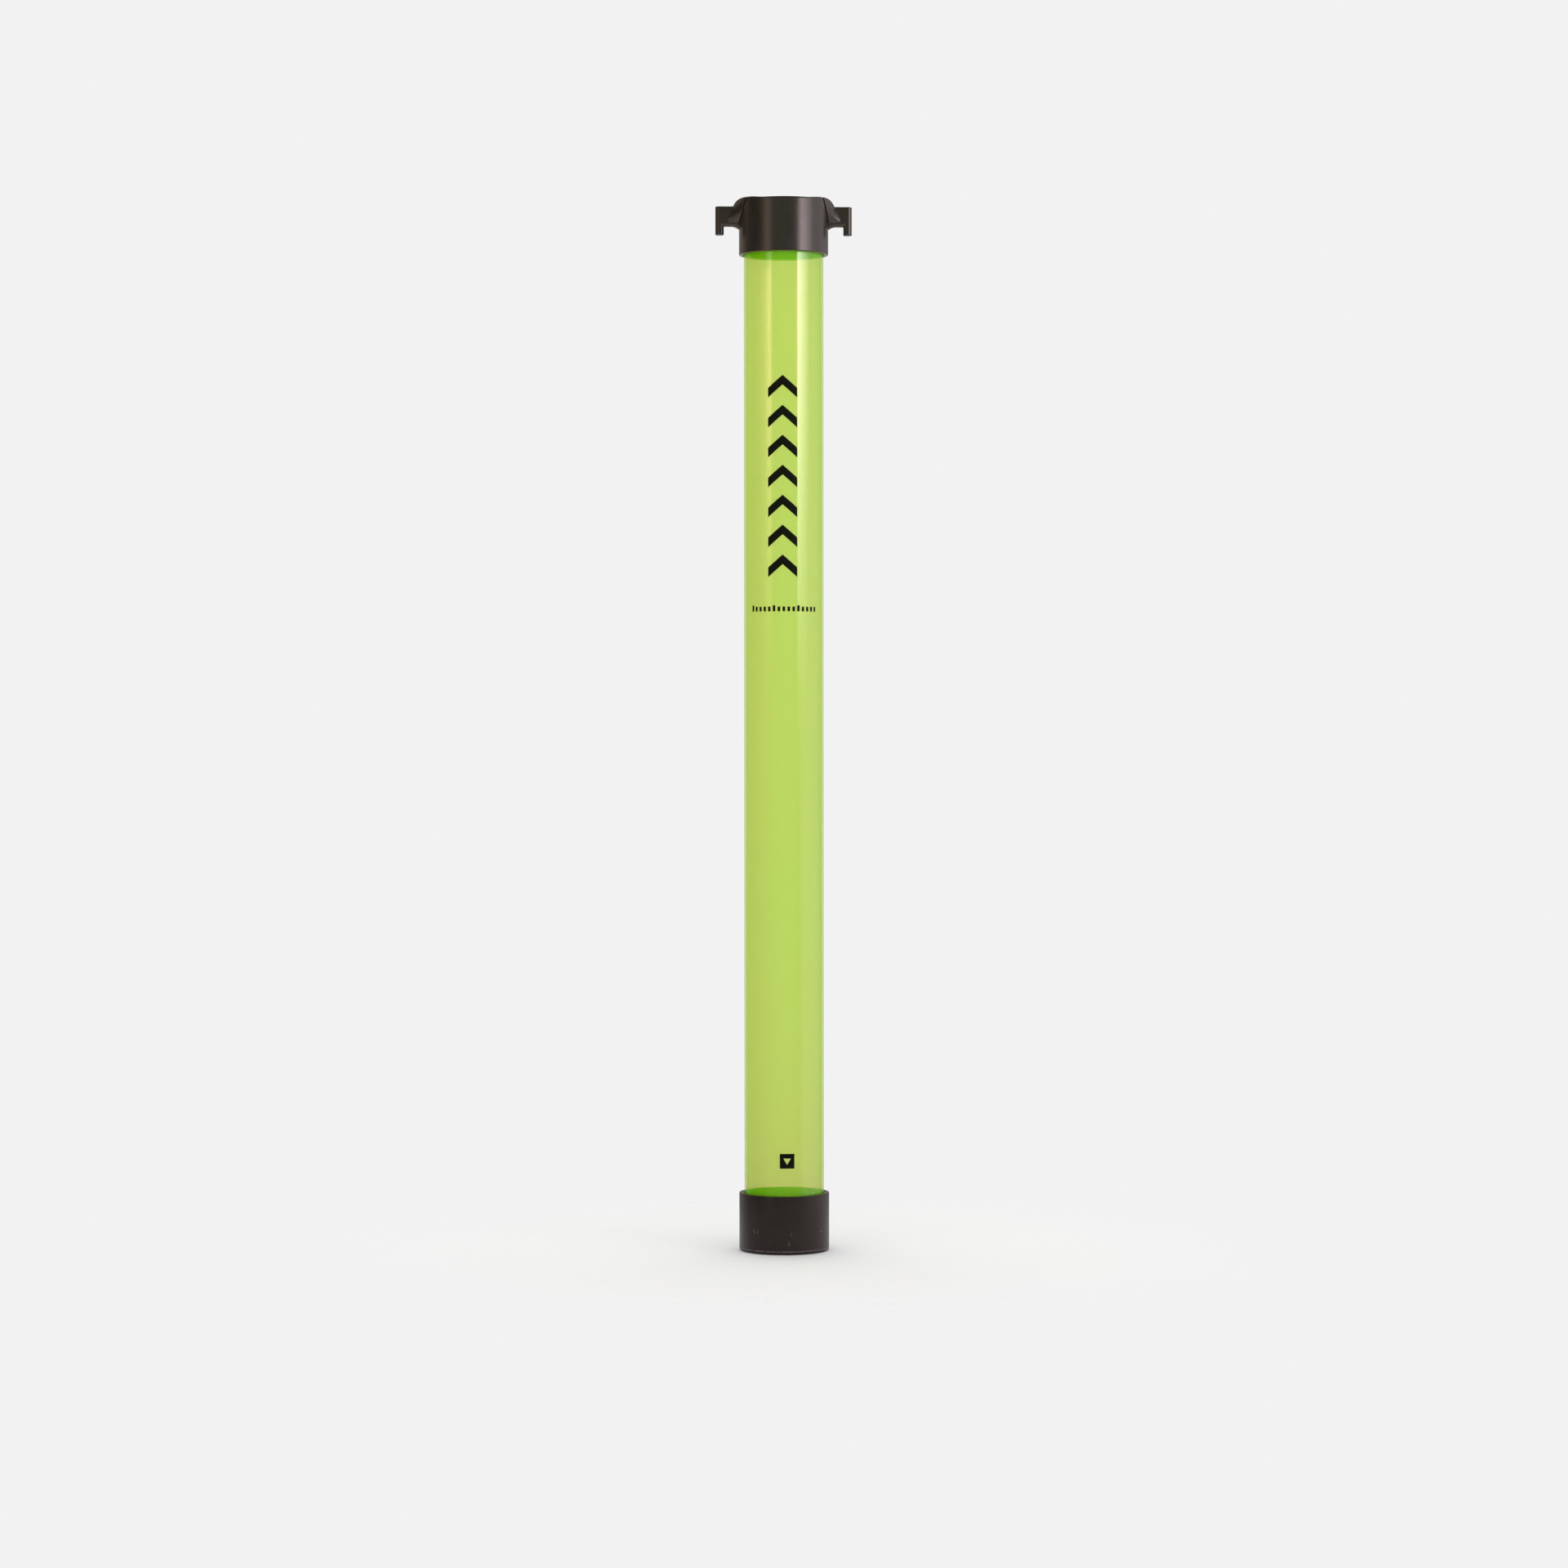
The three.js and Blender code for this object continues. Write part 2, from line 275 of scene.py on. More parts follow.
clearTube = {
    "inside": 35.5, "outside": 37.5, "bottom": 28.0, "top": 986.2, "cutEdge": 0.25,
    "mesh": (256, 3, 0.5, 40),
    "body": (0.235, 0.925, 0.003),      # what the coloured plastic scatters back
    "warmBody": (0.295, 0.905, 0.003),  # the same where it is yellower
    "warmFrom": 0.35, "warmTo": 0.65,
    "clear": (0.994, 0.834, 0.762),     # what one wall surface lets through
    "milk": 0.20,                       # share of the light that the colour catches
    "haze": 0.04, "edgeHaze": 0.32, "edgePower": 3,     # and more where the wall is seen edge on
    "streakHaze": 0.03,
    "ior": 2.5, "glossTint": (0.90, 1.0, 0.95),
    "roughness": 0.08, "streakRough": 0.03, "speckRough": 0.1, "speckFrom": 0.62, "speckTo": 0.8,
    "streaks": (2.2, 3, 0.55, (1, 1, 0.012)), "cloud": (60, 2, 0.5, (1, 1, 0.25)), "specks": (0.9, 2, 0.5),
    "relief": 0.08, "reliefDepth": 0.05, "reliefStreaks": 0.8,
    # above these heights, inside the collar, the plastic is made clearer so the dark socket shows through:
    # painted shade
    "collarShadeFrom": 938.2, "collarShadeTo": 939.7, "collarShadeClears": 0.8,
}


def tubePlastic():
    look = clearTube
    material = bpy.data.materials.new("greenTubePlastic")
    nodes = Nodes(material)
    streaks = nodes.noise(*look["streaks"])
    cloud = nodes.noise(*look["cloud"])
    specks = nodes.noise(*look["specks"])
    warm = (streaks * 0.5 + cloud * 0.5).between(look["warmFrom"], look["warmTo"])
    freckled = specks.between(look["speckFrom"], look["speckTo"])
    ripples = blend(cloud, streaks, look["reliefStreaks"])
    glossy = nodes.node("ShaderNodeBsdfPrincipled", {}, {
        "Base Color": nodes.mixColor(warm, shade(*look["body"]), shade(*look["warmBody"])),
        "Roughness": look["roughness"] + streaks * look["streakRough"] + freckled * look["speckRough"],
        "IOR": look["ior"], "Specular Tint": shade(*look["glossTint"]),
        "Normal": nodes.bump(ripples, look["relief"], look["reliefDepth"])})
    through = nodes.node("ShaderNodeBsdfTransparent", {}, {"Color": shade(*look["clear"])})
    facing = nodes.node("ShaderNodeLayerWeight", output="Facing")
    caught = blend(look["milk"], 1, look["haze"] + look["edgeHaze"] * facing ** look["edgePower"])
    caught = caught + (streaks - 0.5) * look["streakHaze"]
    # painted shade: inside the collar the tube lets more through, so it shows darker there
    shadedInCollar = (nodes.axis(nodes.place(), "Z") / mm).between(look["collarShadeFrom"], look["collarShadeTo"])
    nodes.finish("ShaderNodeOutputMaterial",
                 nodes.mixShader(caught * (1 - look["collarShadeClears"] * shadedInCollar), through, glossy))
    return material


def makeTube():
    size = clearTube
    edge = size["cutEdge"]
    corners = [(size["inside"], size["bottom"], edge), (size["outside"], size["bottom"], edge),
               (size["outside"], size["top"], edge), (size["inside"], size["top"], edge)]
    tube = turned("clearTube", corners, *size["mesh"])
    tube.data.materials.append(tubePlastic())
    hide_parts("tube")
    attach(tube, "tube_body")


makeTube()
print("tube made")


# Black plastics

moulding = {
    "grain": (2, 0.6),                                       # its width is given with each piece
    "cloud": (14, 4, 0.6, (1, 1, 0.6)), "scratches": (1.6, 4, 0.7, (1, 1, 0.18)),
    "paleFrom": 0.3, "paleTo": 0.75,                         # the cloud goes from dark to pale
    "rubBlend": 0.12, "rubCloud": (0.4, 0.7), "rubRough": 0.12,
    "edgeBlend": 0.3, "frontFrom": -5, "scuffCore": 0.2,     # soft borders of marks with their own place
    "scuffLeast": 0.15, "scuffScratch": (0.35, 0.6),         # the scratches break such a mark up
}


def placedScuffsAndHighlight(nodes, look):
    # 1 on the marks that have their own place, 0 elsewhere: a painted highlight band and real scuffs
    if "scuffs" not in look:
        return []
    x, y, z = [nodes.axis(nodes.place(), letter) / mm for letter in "XYZ"]
    low, high = look["highlightBand"]
    soft = moulding["edgeBlend"]
    # painted highlight: a pale band all round, above the foot's rounding
    marks = [z.between(low, low + soft) * (1 - z.between(high - soft, high))]
    front = 1 - y.between(moulding["frontFrom"], 0)
    for across, up, halfWidth, halfHeight, lean in look["scuffs"]:
        aside = (x - across + (z - up) * lean) / halfWidth
        rise = (z - up) / halfHeight
        marks.append(front * (1 - (aside * aside + rise * rise).between(moulding["scuffCore"], 1)))
    return marks


def blackPlastic(name, look):
    # satin or dull moulded black, with a fine grain, cloudy gloss, rubbed places and, where a piece gives
    # them, scuffs and a painted highlight band
    material = bpy.data.materials.new(name)
    nodes = Nodes(material)
    grain = nodes.noise(look["grain"], *moulding["grain"])
    cloud = nodes.noise(*moulding["cloud"])
    scratches = nodes.noise(*moulding["scratches"])
    rubbed = scratches.between(look["rubFrom"], look["rubFrom"] + moulding["rubBlend"])
    rubbed = rubbed * cloud.between(*moulding["rubCloud"])
    wornAndHighlit = rubbed * look["rubAmount"]
    for mark in placedScuffsAndHighlight(nodes, look):
        broken = blend(moulding["scuffLeast"], 1, scratches.between(*moulding["scuffScratch"]))
        wornAndHighlit = wornAndHighlit.atLeast(mark * broken)
    pale = cloud.between(moulding["paleFrom"], moulding["paleTo"])
    color = nodes.mixColor(pale, shade(*look["dark"]), shade(*look["pale"]))
    nodes.finish("ShaderNodeOutputMaterial", nodes.node("ShaderNodeBsdfPrincipled", {}, {
        "Base Color": nodes.mixColor(wornAndHighlit, color, shade(*look["rubAndHighlight"])),
        "Roughness": look["roughness"] + (cloud - 0.5) * look["glossDrift"] + rubbed * moulding["rubRough"],
        "Specular IOR Level": look["gloss"], "Specular Tint": shade(*look["glossTint"]),
        "Normal": nodes.bump(grain, look["bump"], look["depth"])}))
    return material


# Top collar: its ring and the two hook lugs

topCollar = {
    "socket": 37.8, "outside": 42.0, "bore": 35.5, "bottom": 937.7, "lip": 986.5, "rim": 990.0,
    "rimRound": 1.2, "lipRound": 0.8, "skirtRound": 0.7, "leadIn": 1.2, "edge": 0.3, "fineEdge": 0.2,
    "dip": 1.7, "dipFlat": 19, "dipEnd": 36,     # the rim falls between the hooks
    "mesh": (288, 6, 0.4, 12),
    "dark": (0.0105, 0.0070, 0.0045), "pale": (0.014, 0.010, 0.0075), "rubAndHighlight": (0.05, 0.045, 0.042),
    "rubFrom": 0.62, "rubAmount": 0.25, "grain": 0.5, "bump": 0.10, "depth": 0.03,
    "roughness": 0.28, "glossDrift": 0.06, "gloss": 0.7, "glossTint": (1.0, 0.94, 0.93),
}
hookLugs = {
    # the wing
    "rimDrop": 0.12,         # the lug's top lies this far under the rim
    "insideRadius": 39.6,    # the lug ends inside the ring's wall
    "inner": 34,             # and its parts are first built from here outward
    "rimHalf": 21.7, "rootLength": 23.0, "rootPower": 1.12, "toeHalf": 5.0,
    "rimX": 44.6, "toeX": 54.6, "underside": 968.1, "spare": 0.5, "bulge": 0.5,
    "stand": 0.7, "groove": 1.3, "grooveDepth": 0.1, "buried": 4,      # its lip stands off over a groove
    "lipBack": 0.25, "lipRise": 0.55, "lipTurn": 0.05, "lipFall": 0.12,
    "shoulder": 6.2, "shoulderSteps": 10, "levels": 44, "crownSteps": 10,
    "cutInner": 30, "cutHalf": 30, "coreMiddle": 0.01, "coreLow": 930, "coreHigh": 1000,   # its cutters
    "coreMesh": (180, 1, 5, 60),
    # the keel under the arm, whose arch runs down to the ring
    "keelTop": 4, "keelDepth": 3.7, "keelFlat": 0.48, "keelSteps": 8,
    "archDrop": 2.7, "archRun": 7.4, "archSteps": 12,
    # the arm and the bar that hangs from it
    "armTop": 983.0, "armRise": 2, "barIn": 56.4, "barOut": 64.3, "barTip": 956.4,
    "edge": 0.45, "barOuterRound": 4.0, "barInnerRound": 3.3, "barSteps": 8,
    "voxel": 0.25, "smoothing": 5, "smoothShare": 0.5,     # all of it is fused and its corners are eased
}


def collarRing():
    size = topCollar
    corners = [
        (size["socket"] + size["leadIn"], size["bottom"], size["fineEdge"]),
        (size["outside"], size["bottom"], size["skirtRound"]),
        (size["outside"], size["rim"], size["rimRound"]),
        (size["bore"], size["rim"], size["lipRound"]),
        (size["bore"], size["lip"], size["edge"]),
        (size["socket"], size["lip"], size["fineEdge"]),
        (size["socket"], size["bottom"] + size["leadIn"], size["edge"])]
    ring = turned("topCollar", corners, *size["mesh"])
    for vertex in ring.data.vertices:
        if vertex.co.z > (size["lip"] + size["rim"]) / 2 * mm:
            share = (abs(vertex.co.x) / mm - size["dipFlat"]) / (size["dipEnd"] - size["dipFlat"])
            share = min(max(share, 0), 1)
            vertex.co.z -= size["dip"] * (1 - share * share * (3 - 2 * share)) * mm
    return ring


def bothSides(half):
    # a loop from the points of its +Y half
    return [(x, -y, z) for x, y, z in half] + half[::-1]


def lugSection(height):
    # one level of the wing: a lip that stands off the ring, then the crowned face out to the arm
    size = hookLugs
    radius = topCollar["outside"]
    fall = topCollar["rim"] - height
    rootY = size["rimHalf"] * math.sqrt(1 - (fall / size["rootLength"]) ** size["rootPower"])
    root = Vector((math.sqrt(radius ** 2 - rootY ** 2), rootY))
    out = root / radius
    along = Vector((-out.y, out.x))
    share = fall / (topCollar["rim"] - size["underside"])
    toe = Vector((size["rimX"] + (size["toeX"] - size["rimX"]) * share, size["toeHalf"]))
    lip = root + out * size["stand"]
    half = [root - along * size["groove"] - out * size["buried"],
            root - along * size["groove"] - out * size["grooveDepth"],
            root - along * size["lipBack"] + out * size["lipRise"],
            lip - out * size["lipFall"] + along * size["lipTurn"], lip]
    for step in range(1, size["crownSteps"] + 1):
        share = step / size["crownSteps"]
        crown = size["bulge"] * math.sin(share * math.pi) * (1 - toe.y / rootY)
        half.append(lip.lerp(toe, share) + Vector((crown, 0)))
    return bothSides([(p.x, p.y, height) for p in half])


def keelSection(across):
    # the arm's rounded underside at one distance from the axis
    size = hookLugs
    fall = min(max((topCollar["outside"] + size["archRun"] - across) / size["archRun"], 0), 1)
    depth = size["keelDepth"] + size["archDrop"] * fall ** 2
    side = [(1, size["keelTop"])]
    for step in range(size["keelSteps"] + 1):
        angle = math.pi / 2 * step / size["keelSteps"]
        side.append((size["keelFlat"] + (1 - size["keelFlat"]) * math.cos(angle), -depth * math.sin(angle)))
    return bothSides([(across, size["toeHalf"] * width, size["underside"] + rise) for width, rise in side])


def wingCutter():
    # the wing from the side: level underside, sloping edge, and a shoulder that is a curve with one control
    size = hookLugs
    rim = topCollar["rim"] - size["rimDrop"]
    toe = Vector((size["toeX"], size["underside"]))
    peak = Vector((size["rimX"], rim))
    start = peak - (peak - toe).normalized() * size["shoulder"]
    end = Vector((peak.x - size["shoulder"], rim))
    points = [Vector((size["cutInner"], size["underside"])), toe]
    for step in range(size["shoulderSteps"] + 1):
        t = step / size["shoulderSteps"]
        points.append(start * (1 - t) ** 2 + peak * 2 * t * (1 - t) + end * t ** 2)
    points.append(Vector((size["cutInner"], rim)))
    sides = (-size["cutHalf"], size["cutHalf"])
    return loopPiece("wingSide", [[(p.x, y, p.y) for p in points] for y in sides])


def insetCorners(corners, distance, leastRound=0.05):
    # a right-angled outline with each side moved in
    moved = []
    for i, (x, y, radius) in enumerate(corners):
        at = Vector((x, y))
        before = (at - Vector(corners[i - 1][:2])).normalized()
        after = (Vector(corners[(i + 1) % len(corners)][:2]) - at).normalized()
        inward = Vector((-before.y, before.x)) + Vector((-after.y, after.x))
        tighter = max(radius - distance, leastRound) if radius else 0
        moved.append((x + inward.x * distance, y + inward.y * distance, tighter))
    return moved


def bevelRows(low, high, edge):
    # levels of an extruded outline, each with how far the outline is drawn in there
    middle = edge * 0.3     # near enough where a rounding's middle lies
    steps = [(edge, 0), (middle, middle), (0, edge)]
    return [(inset, low + step) for inset, step in steps] + [
        (inset, high - step) for inset, step in steps[::-1]]


def hookArm():
    # a flat plate that ends inside the bar
    size = hookLugs
    middle = (size["barIn"] + size["barOut"]) / 2
    low = size["underside"] + size["armRise"]
    corners = [(size["inner"], low, 0), (middle, low, 0), (middle, size["armTop"], 0),
               (size["inner"], size["armTop"], 0)]
    rows = bevelRows(-size["toeHalf"], size["toeHalf"], size["edge"])
    return loopPiece("hookArm", [[(x, y, z) for x, z, radius in insetCorners(corners, inset)]
                                 for inset, y in rows])


def hookBar():
    # the bar that hangs from the arm's end, its upright edges rounded
    size = hookLugs
    half = size["toeHalf"]
    inner, outer = size["barInnerRound"], size["barOuterRound"]
    corners = [(size["barIn"], -half, inner), (size["barOut"], -half, outer),
               (size["barOut"], half, outer), (size["barIn"], half, inner)]
    rows = bevelRows(size["barTip"], size["armTop"], size["edge"])
    return loopPiece("hookBar", [
        [(p.x, p.y, z) for p in roundCorners(insetCorners(corners, inset), size["barSteps"])]
        for inset, z in rows])


def ringCore():
    # what the lug must leave free: the inside of the ring
    size = hookLugs
    corners = [(size["coreMiddle"], size["coreLow"], 0), (size["insideRadius"], size["coreLow"], 0),
               (size["insideRadius"], size["coreHigh"], 0), (size["coreMiddle"], size["coreHigh"], 0)]
    return turned("ringCore", corners, *size["coreMesh"])


def hookLug(name, turn):
    size = hookLugs
    low = size["underside"] - size["spare"]     # the cutter takes this off again
    lug = loopPiece(name, [lugSection(low + (topCollar["rim"] - low) * level / size["levels"])
                           for level in range(size["levels"] + 1)])
    cutBy(lug, "INTERSECT", wingCutter())
    places = [topCollar["outside"] + size["archRun"] * step / size["archSteps"]
              for step in range(size["archSteps"] + 1)]
    places = [size["inner"]] + places + [size["barIn"] + size["barInnerRound"]]
    parts = [loopPiece("keel", [keelSection(place) for place in places]), hookArm(), hookBar()]
    shape = bmesh.new()
    shape.from_mesh(lug.data)
    for part in parts:
        shape.from_mesh(part.data)
        bpy.data.objects.remove(part)
    shape.to_mesh(lug.data)
    shape.free()
    modified(lug, ("REMESH", {"mode": "VOXEL", "voxel_size": size["voxel"] * mm}),
             ("SMOOTH", {"factor": size["smoothShare"], "iterations": size["smoothing"]}))
    cutBy(lug, "DIFFERENCE", ringCore())
    lug.data.transform(Matrix.Rotation(turn, 4, "Z"))
    lug.data.shade_smooth()
    return lug


satinBlack = blackPlastic("satinBlackPlastic", topCollar)
for piece in [collarRing(), hookLug("hookLugRight", 0), hookLug("hookLugLeft", math.pi)]:
    piece.data.materials.clear()
    piece.data.materials.append(satinBlack)
    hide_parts("top_collar")
    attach(piece, "tube_body")
print("top collar and hooks made")


# Bottom collar

bottomCollar = {
    "socket": 37.8, "outside": 42.4, "bore": 35.5, "bottom": 0.0, "ledge": 4.0, "rim": 54.8,
    "footRound": 2.5, "rimRound": 0.6, "leadIn": 1.2, "leadRound": 0.4, "edge": 0.3, "fineEdge": 0.2,
    "mesh": (288, 6, 0.4, 12),
    # the rub colour also paints the highlight band
    "dark": (0.0065, 0.0042, 0.0030), "pale": (0.0105, 0.0075, 0.0060), "rubAndHighlight": (0.075, 0.068, 0.06),
    "rubFrom": 0.60, "rubAmount": 0.35, "grain": 0.6, "bump": 0.22, "depth": 0.05,
    "roughness": 0.37, "glossDrift": 0.10, "gloss": 0.40, "glossTint": (1.0, 0.85, 0.84),
    "highlightBand": (2.5, 4.0),     # painted highlight: pale between these heights, just above the foot's rounding
    "scuffs": [                 # place across and up, half width and height, lean
        (-29.8, 21.6, 0.5, 3.2, 0.30), (-26.6, 21.4, 0.5, 3.0, -0.12), (2.1, 10.4, 0.6, 2.2, 0.1),
        (4.4, 19.5, 0.5, 2.2, -0.15), (33.4, 20.6, 1.6, 0.6, 0.0)],
}


def makeFoot():
    size = bottomCollar
    corners = [
        (size["bore"] + size["leadIn"], size["bottom"], size["edge"]),
        (size["outside"], size["bottom"], size["footRound"]),
        (size["outside"], size["rim"], size["rimRound"]),
        (size["socket"] + size["leadIn"], size["rim"], size["edge"]),
        (size["socket"], size["rim"] - size["leadIn"], size["leadRound"]),
        (size["socket"], size["ledge"], size["fineEdge"]),
        (size["bore"], size["ledge"], size["fineEdge"]),
        (size["bore"], size["bottom"] + size["leadIn"], size["edge"])]
    foot = turned("bottomCollar", corners, *size["mesh"])
    foot.data.materials.append(blackPlastic("rubberyBlack", bottomCollar))
    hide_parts("bottom_collar")
    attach(foot, "tube_body")


makeFoot()
print("bottom collar made")


# Insert with its springy fingers

insert = {
    "mouth": 34.5, "outside": 37.5, "sleeve": 36.3, "bottom": 4.3, "base": 9.5, "top": 27.7,
    "edge": 0.35, "sleeveEdge": 0.25, "baseRound": 0.4, "mesh": (240, 4, 0.3, 10),
    "dark": (0.012, 0.011, 0.010), "pale": (0.018, 0.017, 0.016), "rubAndHighlight": (0.04, 0.04, 0.04),
    "rubFrom": 0.62, "rubAmount": 0.2, "grain": 0.5, "bump": 0.15, "depth": 0.03,
    "roughness": 0.5, "glossDrift": 0.08, "gloss": 0.4, "glossTint": (1.0, 1.0, 1.0),
}
springFingers = {
    "count": 8, "rootRadius": 35.25, "rootZ": 9.5, "tipRadius": 30.5, "tipZ": 24.3,
    "rootHalf": 11.0, "tipHalf": 8.5, "tipCorner": 4.0, "wall": 1.5, "bead": 1.1,
    "hingeWall": 1.1, "hingeRun": 2.5,     # thinner over this length from the root
    "stations": 40, "stationPower": 1.15, "tipGap": 0.02,     # sections, closer together towards the tip
    "across": 24, "edgeSteps": 6, "edgeShare": 0.2, "crease": 50,
}


def insertRing():
    size = insert
    corners = [
        (size["mouth"], size["bottom"], size["edge"]), (size["outside"], size["bottom"], size["edge"]),
        (size["outside"], size["top"], size["sleeveEdge"]),
        (size["sleeve"], size["top"], size["sleeveEdge"]),
        (size["sleeve"], size["base"], size["baseRound"]), (size["mouth"], size["base"], size["edge"])]
    return turned("insertRing", corners, *size["mesh"])


def fingerSection(centre, out, half, wall):
    # flat faces outside and inside, joined by rounded edges, and wrapped on to the cone
    size = springFingers
    edge = min(wall, half * size["edgeShare"])
    side = [(half - edge) * (2 * step / size["across"] - 1) for step in range(size["across"] + 1)]
    angles = [math.pi * step / size["edgeSteps"] for step in range(1, size["edgeSteps"])]
    loop = [(y, wall) for y in side]
    loop += [(half - edge + edge * math.sin(angle), wall * math.cos(angle)) for angle in angles]
    loop += [(y, -wall) for y in side[::-1]]
    loop += [(-half + edge - edge * math.sin(angle), -wall * math.cos(angle)) for angle in angles]
    points = []
    for y, offset in loop:
        at = centre + out * offset
        points.append((math.sqrt(at.x ** 2 - y ** 2), y, at.y))
    return points


def finger(name, turn):
    # a tongue of a cone, from the hinge to the bead along its tip
    size = springFingers
    root = Vector((size["rootRadius"], size["rootZ"]))
    tip = Vector((size["tipRadius"], size["tipZ"]))
    along = (tip - root).normalized()
    out = Vector((along.y, -along.x))
    length = (tip - root).length
    reach = length + size["bead"]
    loops = []
    for station in range(size["stations"] + 1):
        share = math.sin(station / size["stations"] * math.pi / 2) ** size["stationPower"]
        run = min(reach * share, reach - size["tipGap"])
        fromTip = run - length
        wall = size["wall"] / 2
        if run < size["hingeRun"]:
            thicker = (size["wall"] - size["hingeWall"]) / 2 * (run / size["hingeRun"]) ** 2
            wall = size["hingeWall"] / 2 + thicker
        bead = math.sqrt(max(size["bead"] ** 2 - fromTip ** 2, 0))
        wall = max(wall, bead) if fromTip < 0 else bead
        half = size["rootHalf"] + (size["tipHalf"] - size["rootHalf"]) * run / reach
        corner = size["tipCorner"] - (reach - run)
        if corner > 0:
            half -= size["tipCorner"] - math.sqrt(max(size["tipCorner"] ** 2 - corner ** 2, 0))
        loops.append(fingerSection(root + along * run, out, half, wall))
    piece = loopPiece(name, loops, crease=size["crease"])
    piece.data.transform(Matrix.Rotation(turn, 4, "Z"))
    return piece


insertBlack = blackPlastic("mattBlackPlastic", insert)
ring = insertRing()
ring.data.materials.append(insertBlack)
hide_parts("retainer_ring")
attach(ring, "tube_body")
for number in range(1, springFingers["count"] + 1):
    tongue = finger(f"springFinger{number}", 2 * math.pi * (number - 1) / springFingers["count"])
    tongue.data.materials.append(insertBlack)
    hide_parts(f"finger_{number}")
    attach(tongue, f"finger_body_{number}")
print("insert and fingers made")


# Prints on the tube: plain arrows, a row of ticks and a small square, with no lettering

printedMarks = {
    "radius": 37.515, "thickness": 0.05, "step": 1.2, "weldGap": 0.002,
    "arrowWidth": 27.8, "arrowRise": 12.0, "arrowStroke": 9.0, "arrowCount": 7,
    "arrowBottom": 633.8, "arrowTop": 822.3, "arrowCentre": -3.1,
    "tickZ": 601.9, "tickCentre": -2.0, "tickHalfArc": 32.5, "tickCount": 15,
    "tickWidth": 2.4, "tickHeight": 4.4, "tickLong": 5.6, "tickGroup": 5,     # each group's first is taller
    "squareSide": 13.8, "squareBottom": 80.8, "squareCentre": 0.7,
    "squareFrame": 0.24, "squareBase": 0.68, "squareRise": 0.42,     # shares of its side
    "dark": (0.0026, 0.003, 0.0006), "pale": (0.006, 0.0068, 0.0015), "paleFrom": 0.35, "paleTo": 0.7,
    "cover": (1.1, 3, 0.6), "roughness": 0.45, "roughDrift": 0.15, "gloss": 0.06,
    "bump": 0.1, "depth": 0.02,
}


def inkPiece(name, patches):
    # patches are flat four-cornered shapes, distance round the tube and height, wrapped on to its front
    shape = bmesh.new()
    for patch in patches:
        shape.faces.new([shape.verts.new((s, z, 0)) for s, z in patch])
    bmesh.ops.remove_doubles(shape, verts=shape.verts, dist=printedMarks["weldGap"])
    result = bmesh.ops.extrude_face_region(shape, geom=shape.faces[:])
    raised = [item for item in result["geom"] if isinstance(item, bmesh.types.BMVert)]
    bmesh.ops.translate(shape, vec=(0, 0, printedMarks["thickness"]), verts=raised)
    for vert in shape.verts:
        radius = printedMarks["radius"] + vert.co.z
        angle = vert.co.x / clearTube["outside"]
        vert.co = Vector((radius * math.sin(angle), -radius * math.cos(angle), vert.co.y))
    return newPiece(name, shape)


def level(height):
    return lambda s: height


def columnPatches(start, end, lower, upper):
    # upright strips between two lines, narrow enough to follow the tube
    parts = max(2, math.ceil(abs(end - start) / printedMarks["step"]))
    edges = [start + (end - start) * part / parts for part in range(parts + 1)]
    return [[(a, lower(a)), (b, lower(b)), (b, upper(b)), (a, upper(a))] for a, b in zip(edges, edges[1:])]


def arrowPatches(bottom):
    size = printedMarks
    middle = size["arrowCentre"]
    half = size["arrowWidth"] / 2
    low = lambda s: bottom + size["arrowRise"] * (1 - abs(s - middle) / half)
    high = lambda s: low(s) + size["arrowStroke"]
    return columnPatches(middle - half, middle, low, high) + columnPatches(middle, middle + half, low, high)


def tickPatches(number):
    size = printedMarks
    middle = size["tickCentre"] + size["tickHalfArc"] * (2 * number / (size["tickCount"] - 1) - 1)
    tall = size["tickLong"] if number % size["tickGroup"] == 0 else size["tickHeight"]
    return columnPatches(middle - size["tickWidth"] / 2, middle + size["tickWidth"] / 2,
                         level(size["tickZ"]), level(size["tickZ"] + tall))


def squarePatches():
    # a square with a triangle left open in it, pointing down to the mouth
    size = printedMarks
    side = size["squareSide"]
    middle = size["squareCentre"]
    left = middle - side / 2
    bottom = size["squareBottom"]
    inner = side * size["squareFrame"]
    base = bottom + side * size["squareBase"]
    rise = side * size["squareRise"]
    sloping = lambda s: base - rise * (1 - abs(s - middle) / (side / 2 - inner))
    patches = []
    for start, end in ((left, left + inner), (left + side - inner, left + side)):
        patches += columnPatches(start, end, level(bottom), level(base))
        patches += columnPatches(start, end, level(base), level(bottom + side))
    for start, end in ((left + inner, middle), (middle, left + side - inner)):
        patches += columnPatches(start, end, level(bottom), sloping)
        patches += columnPatches(start, end, level(base), level(bottom + side))
    return patches


def printInk():
    look = printedMarks
    material = bpy.data.materials.new("blackInk")
    nodes = Nodes(material)
    cover = nodes.noise(*look["cover"])
    pale = cover.between(look["paleFrom"], look["paleTo"])
    nodes.finish("ShaderNodeOutputMaterial", nodes.node("ShaderNodeBsdfPrincipled", {}, {
        "Base Color": nodes.mixColor(pale, shade(*look["dark"]), shade(*look["pale"])),
        "Roughness": look["roughness"] + cover * look["roughDrift"], "Specular IOR Level": look["gloss"],
        "Normal": nodes.bump(cover, look["bump"], look["depth"])}))
    return material


